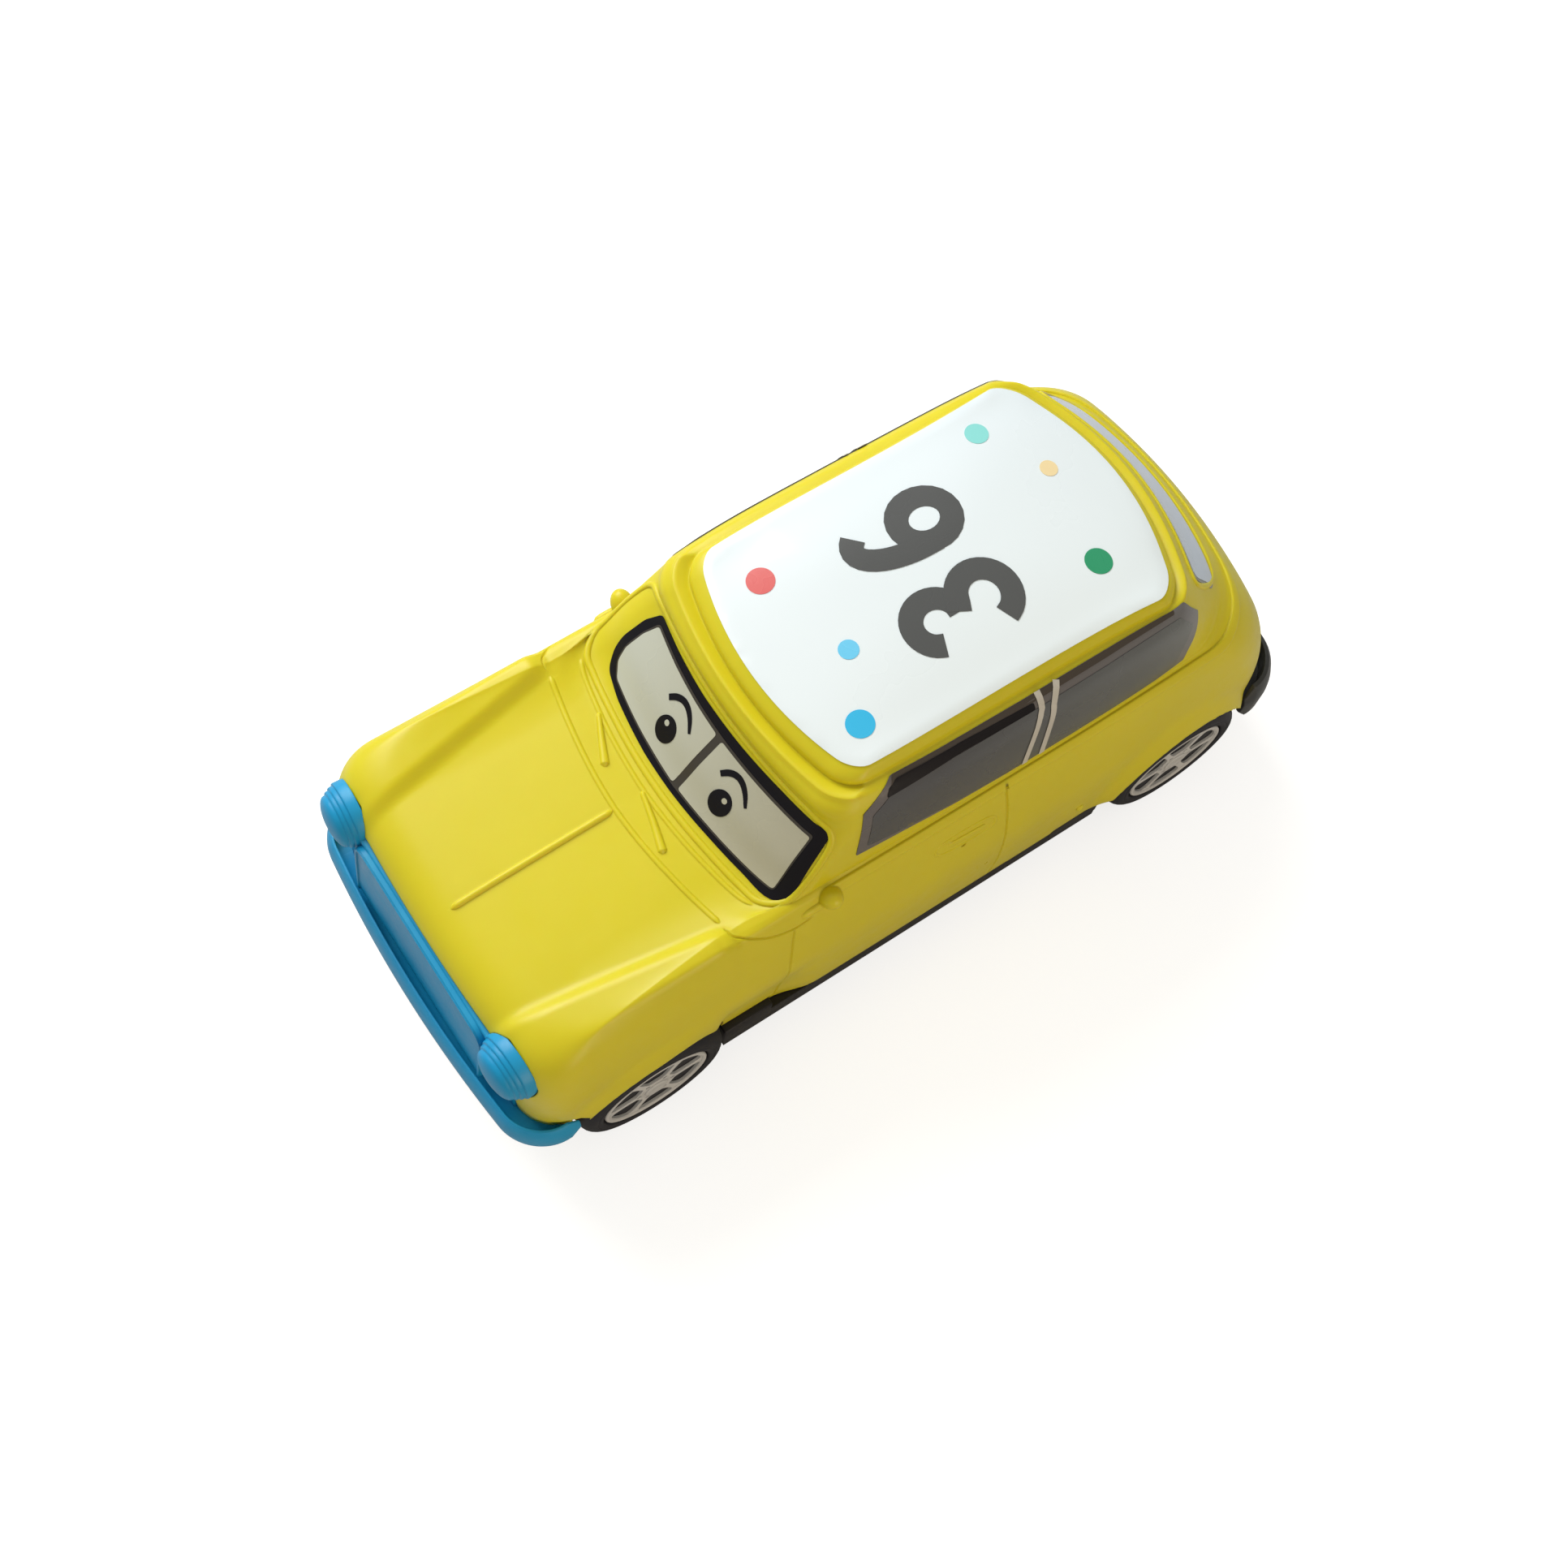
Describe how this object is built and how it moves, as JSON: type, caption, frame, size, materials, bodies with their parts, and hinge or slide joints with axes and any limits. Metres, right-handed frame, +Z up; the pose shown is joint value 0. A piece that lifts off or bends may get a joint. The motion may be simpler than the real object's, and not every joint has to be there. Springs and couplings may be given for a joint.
{
  "type": "pull back toy car",
  "caption": "Small hatchback toy car with a moulded shell, printed labels, free-rolling front wheels and a spring motor geared to the rear axle.",
  "frame": {"origin": "on the ground, half way between the two axles, on the plane of symmetry", "axes": "+Z up, -Y towards the nose, +X towards the car's left side; wheels roll along Y"},
  "size_m": [0.0628, 0.1484, 0.064],
  "materials": {
    "body": "satin moulded yellow plastic",
    "trim_blue": "satin moulded blue plastic",
    "chassis": "black moulded plastic",
    "wheel": "black moulded plastic",
    "hub": "silver grey printed plastic",
    "label_white": "coated printed label",
    "label_dark": "coated printed label",
    "label_pale": "coated printed label",
    "label_silver": "coated printed label",
    "steel": "drawn steel",
    "spring_steel": "blued spring steel",
    "gear": "natural nylon",
    "brass": "turned brass",
    "motor_case": "dark moulded plastic"
  },
  "bodies": {
    "car": {"body_shell": "body", "chassis": "chassis", "front_trim": "trim_blue", "rear_bumper": "chassis", "roof_label": "label_white", "windscreen_label": "label_pale", "rear_window_label": "label_silver", "side_window_label_left": "label_dark", "side_window_label_right": "label_dark", "idler_shaft": "steel", "spring_arbor": "steel", "motor_case_left": "motor_case", "motor_case_right": "motor_case", "motor_screw_front": "steel", "motor_screw_rear": "steel", "body_screw_front_left": "steel", "body_screw_front_right": "steel", "body_screw_rear_left": "steel", "body_screw_rear_right": "steel"},
    "front_wheels": {"front_axle": "steel", "wheel_front_left": "wheel", "wheel_front_right": "wheel", "hub_disc_front_left": "hub", "hub_disc_front_right": "hub"},
    "rear_wheels": {"rear_axle": "steel", "wheel_rear_left": "wheel", "wheel_rear_right": "wheel", "hub_disc_rear_left": "hub", "hub_disc_rear_right": "hub", "axle_pinion": "brass"},
    "idler": {"idler_gear": "gear"},
    "spring_drum": {"spring_gear": "gear", "mainspring": "spring_steel"}
  },
  "joints": [
    {"name": "rear_wheels_spin", "type": "hinge", "parent": "car", "child": "rear_wheels", "pos_m": [0, 0.05, 0.01257], "axis": [1, 0, 0], "continuous": true},
    {"name": "front_wheels_spin", "type": "hinge", "parent": "car", "child": "front_wheels", "pos_m": [0, -0.05, 0.01257], "axis": [1, 0, 0], "continuous": true},
    {"name": "idler_spin", "type": "hinge", "parent": "car", "child": "idler", "pos_m": [0, 0.04777, 0.02524], "axis": [1, 0, 0], "continuous": true},
    {"name": "spring_drum_spin", "type": "hinge", "parent": "car", "child": "spring_drum", "pos_m": [0, 0.03567, 0.02084], "axis": [1, 0, 0], "continuous": true}
  ],
  "couplings": [
    {"joint": "idler_spin", "follows": "rear_wheels_spin", "ratio": -0.41667},
    {"joint": "spring_drum_spin", "follows": "rear_wheels_spin", "ratio": 0.12821}
  ]
}
